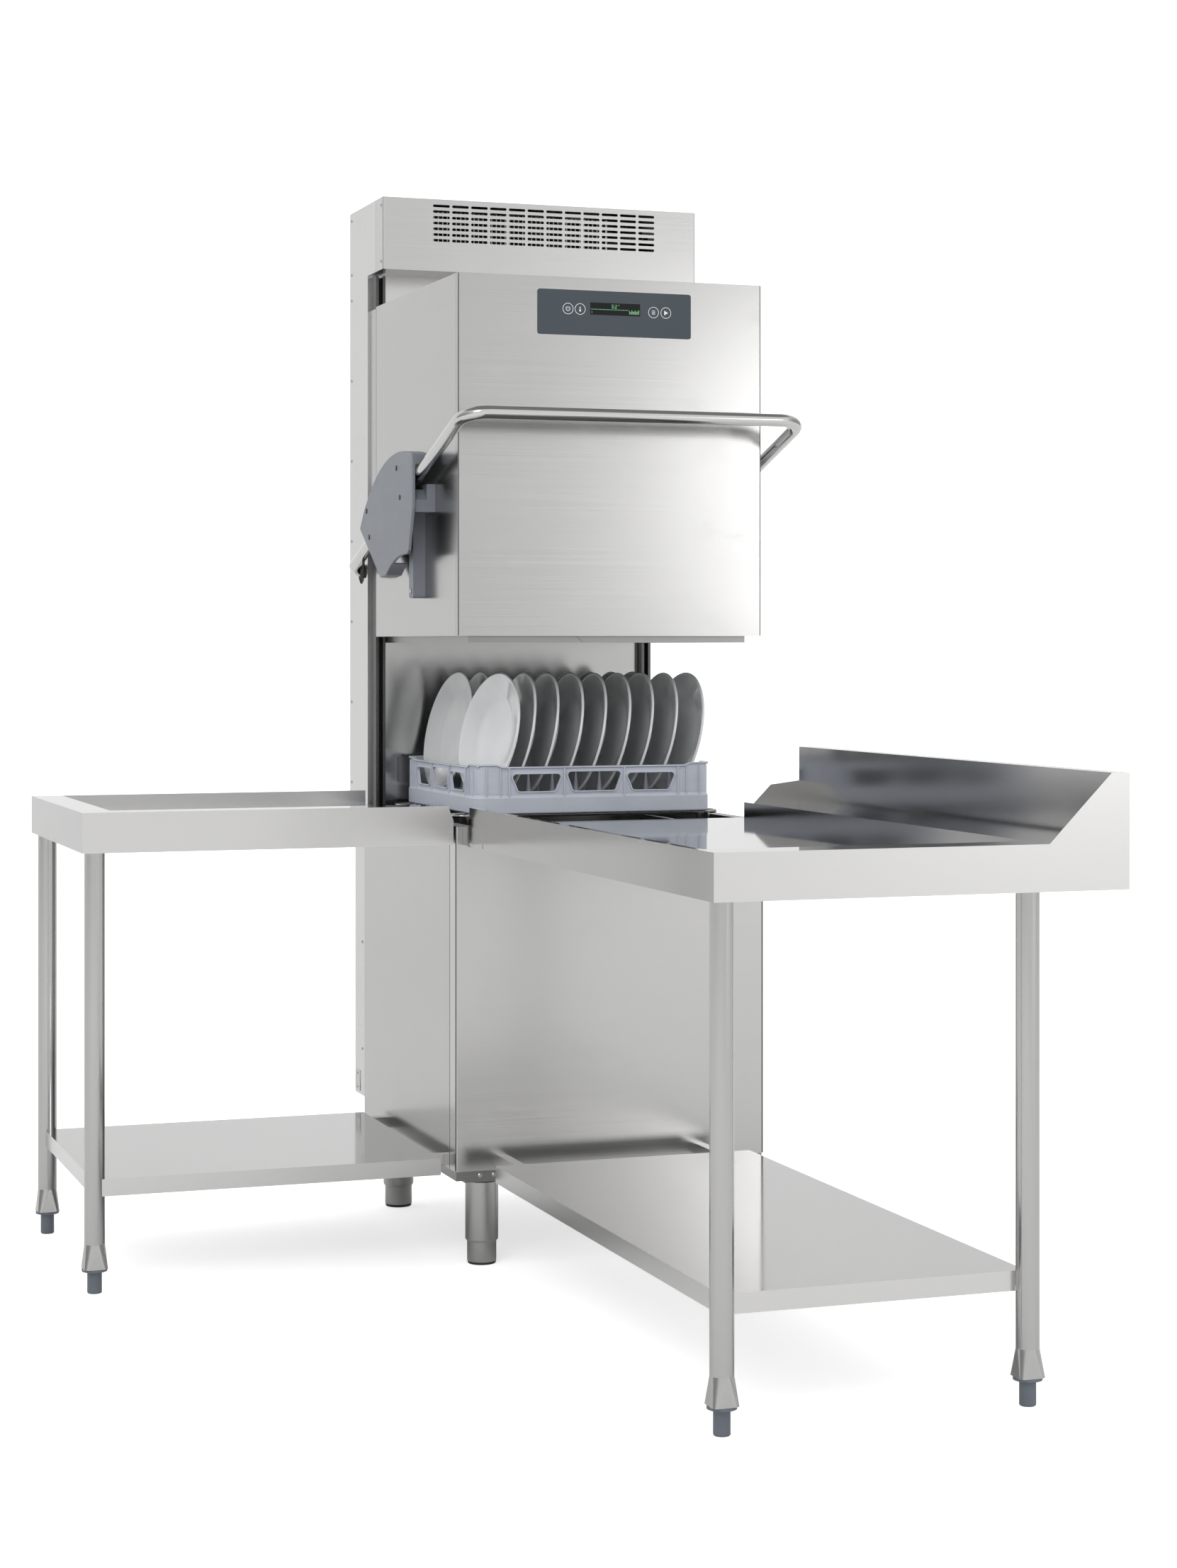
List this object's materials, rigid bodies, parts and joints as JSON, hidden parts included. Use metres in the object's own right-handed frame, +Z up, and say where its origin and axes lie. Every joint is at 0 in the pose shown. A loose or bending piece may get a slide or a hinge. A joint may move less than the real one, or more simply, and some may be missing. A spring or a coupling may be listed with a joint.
{
  "type": "commercial dishwasher",
  "caption": "Pass-through hood dishwasher for a corner, with rear condenser tower, lifting handle, side table, front table with splash, and a rack of plates.",
  "frame": {"origin": "middle of the whole object's footprint, on the floor", "axes": "+X to the right of someone facing the machine, +Y to the back, +Z up"},
  "size_m": [1.439, 2.103, 2.141],
  "materials": {
    "brushed_steel": "fine vertical or horizontal brushed grain, satin",
    "polished_steel": "bright, almost mirror-like folded sheet",
    "satin_tube": "satin polished stainless tube",
    "inner_steel": "dull pressed stainless sheet",
    "zinc_screw": "bright small fasteners",
    "grey_plastic": "moulded blue-grey plastic, fine satin texture",
    "dark_plastic": "black moulded plastic",
    "foot_plastic": "moulded grey plastic",
    "rack_plastic": "light steel-blue polypropylene, satin",
    "glazed_white": "white glazed porcelain",
    "panel_face": "printed dark blue-grey cover film",
    "button_face": "printed cover film with a light ring",
    "display_glass": "black display window",
    "rubber": "black rubber",
    "motor_paint": "dark grey enamel",
    "motor_casting": "cast and machined aluminium",
    "coil_fins": "thin bright fins on tubes",
    "heater_sheath": "dull heat-tinted sheath",
    "spring_steel": "oiled spring steel",
    "bush_plastic": "white sliding plastic"
  },
  "bodies": {
    "root": {"base_frame": "inner_steel", "machine_feet": "satin_tube", "foot_pads": "rubber", "foot_screws": "zinc_screw", "front_panel": "brushed_steel", "side_panels": "brushed_steel", "wash_tank": "inner_steel", "strainers": "inner_steel", "heating_elements": "heater_sheath", "rack_guide": "satin_tube", "wash_pipes": "inner_steel", "pump_volute": "dark_plastic", "pump_motor": "motor_casting", "rinse_boiler": "inner_steel", "drain_pump": "dark_plastic", "water_inlet": "dark_plastic", "dosing_pumps": "dark_plastic", "control_box": "motor_paint", "rear_wall": "inner_steel", "guide_posts": "satin_tube", "tower": "brushed_steel", "service_duct": "brushed_steel", "cable_gland": "dark_plastic", "shaft_bushes": "bush_plastic", "balance_springs": "spring_steel", "condenser_front": "brushed_steel", "condenser_body": "brushed_steel", "condenser_coil": "coil_fins", "fan_motor": "motor_paint", "left_table_top": "polished_steel", "front_table_top": "polished_steel", "table_legs": "satin_tube", "table_feet": "foot_plastic", "table_shelves": "polished_steel"},
    "hood": {"hood_front": "brushed_steel", "hood_shell": "brushed_steel", "hood_liner": "inner_steel", "hood_shoes": "bush_plastic", "hood_brackets": "grey_plastic", "bracket_fasteners": "zinc_screw", "control_plate": "panel_face", "display_window": "display_glass"},
    "handle": {"lift_handle": "satin_tube", "cross_shaft": "satin_tube", "handle_covers": "grey_plastic", "cover_screws": "zinc_screw", "lift_cams": "inner_steel"},
    "rack": {"dish_rack": "rack_plastic", "plates": "glazed_white"},
    "power_button": {"power_button": "button_face"},
    "temperature_button": {"temperature_button": "button_face"},
    "programme_button": {"programme_button": "button_face"},
    "start_button": {"start_button": "button_face"},
    "lower_wash_arm": {"lower_wash_arm": "inner_steel"},
    "lower_rinse_arm": {"lower_rinse_arm": "inner_steel"},
    "upper_wash_arm": {"upper_wash_arm": "inner_steel"},
    "upper_rinse_arm": {"upper_rinse_arm": "inner_steel"},
    "pump_impeller": {"pump_impeller": "dark_plastic"},
    "fan_rotor": {"fan_rotor": "dark_plastic"},
    "overflow": {"overflow_pipe": "grey_plastic"}
  },
  "joints": [
    {"name": "hood_slide", "type": "slide", "parent": "root", "child": "hood", "axis": [0, 0, 1], "range_m": [-0.364, 0]},
    {"name": "handle_swing", "type": "hinge", "parent": "root", "child": "handle", "pos_m": [0.3175, 0.9525, 1.357], "axis": [1, 0, 0], "range_deg": [0, 39], "deforming": ["balance_springs"]},
    {"name": "rack_slide", "type": "slide", "parent": "root", "child": "rack", "axis": [-0.9998, 0, 0.0187], "range_m": [0, 0.62]},
    {"name": "overflow_lift", "type": "slide", "parent": "root", "child": "overflow", "axis": [0, 0, 1], "range_m": [0, 0.04]},
    {"name": "power_press", "type": "slide", "parent": "hood", "child": "power_button", "axis": [0, 1, 0], "range_m": [0, 0.0015], "stiffness_N_per_m": 400, "springref_m": -0.001},
    {"name": "temperature_press", "type": "slide", "parent": "hood", "child": "temperature_button", "axis": [0, 1, 0], "range_m": [0, 0.0015], "stiffness_N_per_m": 400, "springref_m": -0.001},
    {"name": "programme_press", "type": "slide", "parent": "hood", "child": "programme_button", "axis": [0, 1, 0], "range_m": [0, 0.0015], "stiffness_N_per_m": 400, "springref_m": -0.001},
    {"name": "start_press", "type": "slide", "parent": "hood", "child": "start_button", "axis": [0, 1, 0], "range_m": [0, 0.0015], "stiffness_N_per_m": 400, "springref_m": -0.001},
    {"name": "lower_wash_spin", "type": "hinge", "parent": "root", "child": "lower_wash_arm", "pos_m": [0.3215, 0.6095, 0.793], "axis": [0, 0, 1], "continuous": true},
    {"name": "lower_rinse_spin", "type": "hinge", "parent": "root", "child": "lower_rinse_arm", "pos_m": [0.3215, 0.6095, 0.812], "axis": [0, 0, 1], "continuous": true},
    {"name": "upper_wash_spin", "type": "hinge", "parent": "root", "child": "upper_wash_arm", "pos_m": [0.3215, 0.6095, 1.241], "axis": [0, 0, 1], "continuous": true},
    {"name": "upper_rinse_spin", "type": "hinge", "parent": "root", "child": "upper_rinse_arm", "pos_m": [0.3215, 0.6095, 1.221], "axis": [0, 0, 1], "continuous": true},
    {"name": "impeller_spin", "type": "hinge", "parent": "root", "child": "pump_impeller", "pos_m": [0.3215, 0.6095, 0.33], "axis": [1, 0, 0], "continuous": true},
    {"name": "fan_spin", "type": "hinge", "parent": "root", "child": "fan_rotor", "pos_m": [0.6375, 0.9365, 2.064], "axis": [1, 0, 0], "continuous": true}
  ],
  "couplings": [
    {"joint": "handle_swing", "follows": "hood_slide", "rad_per_m": -1.868}
  ]
}
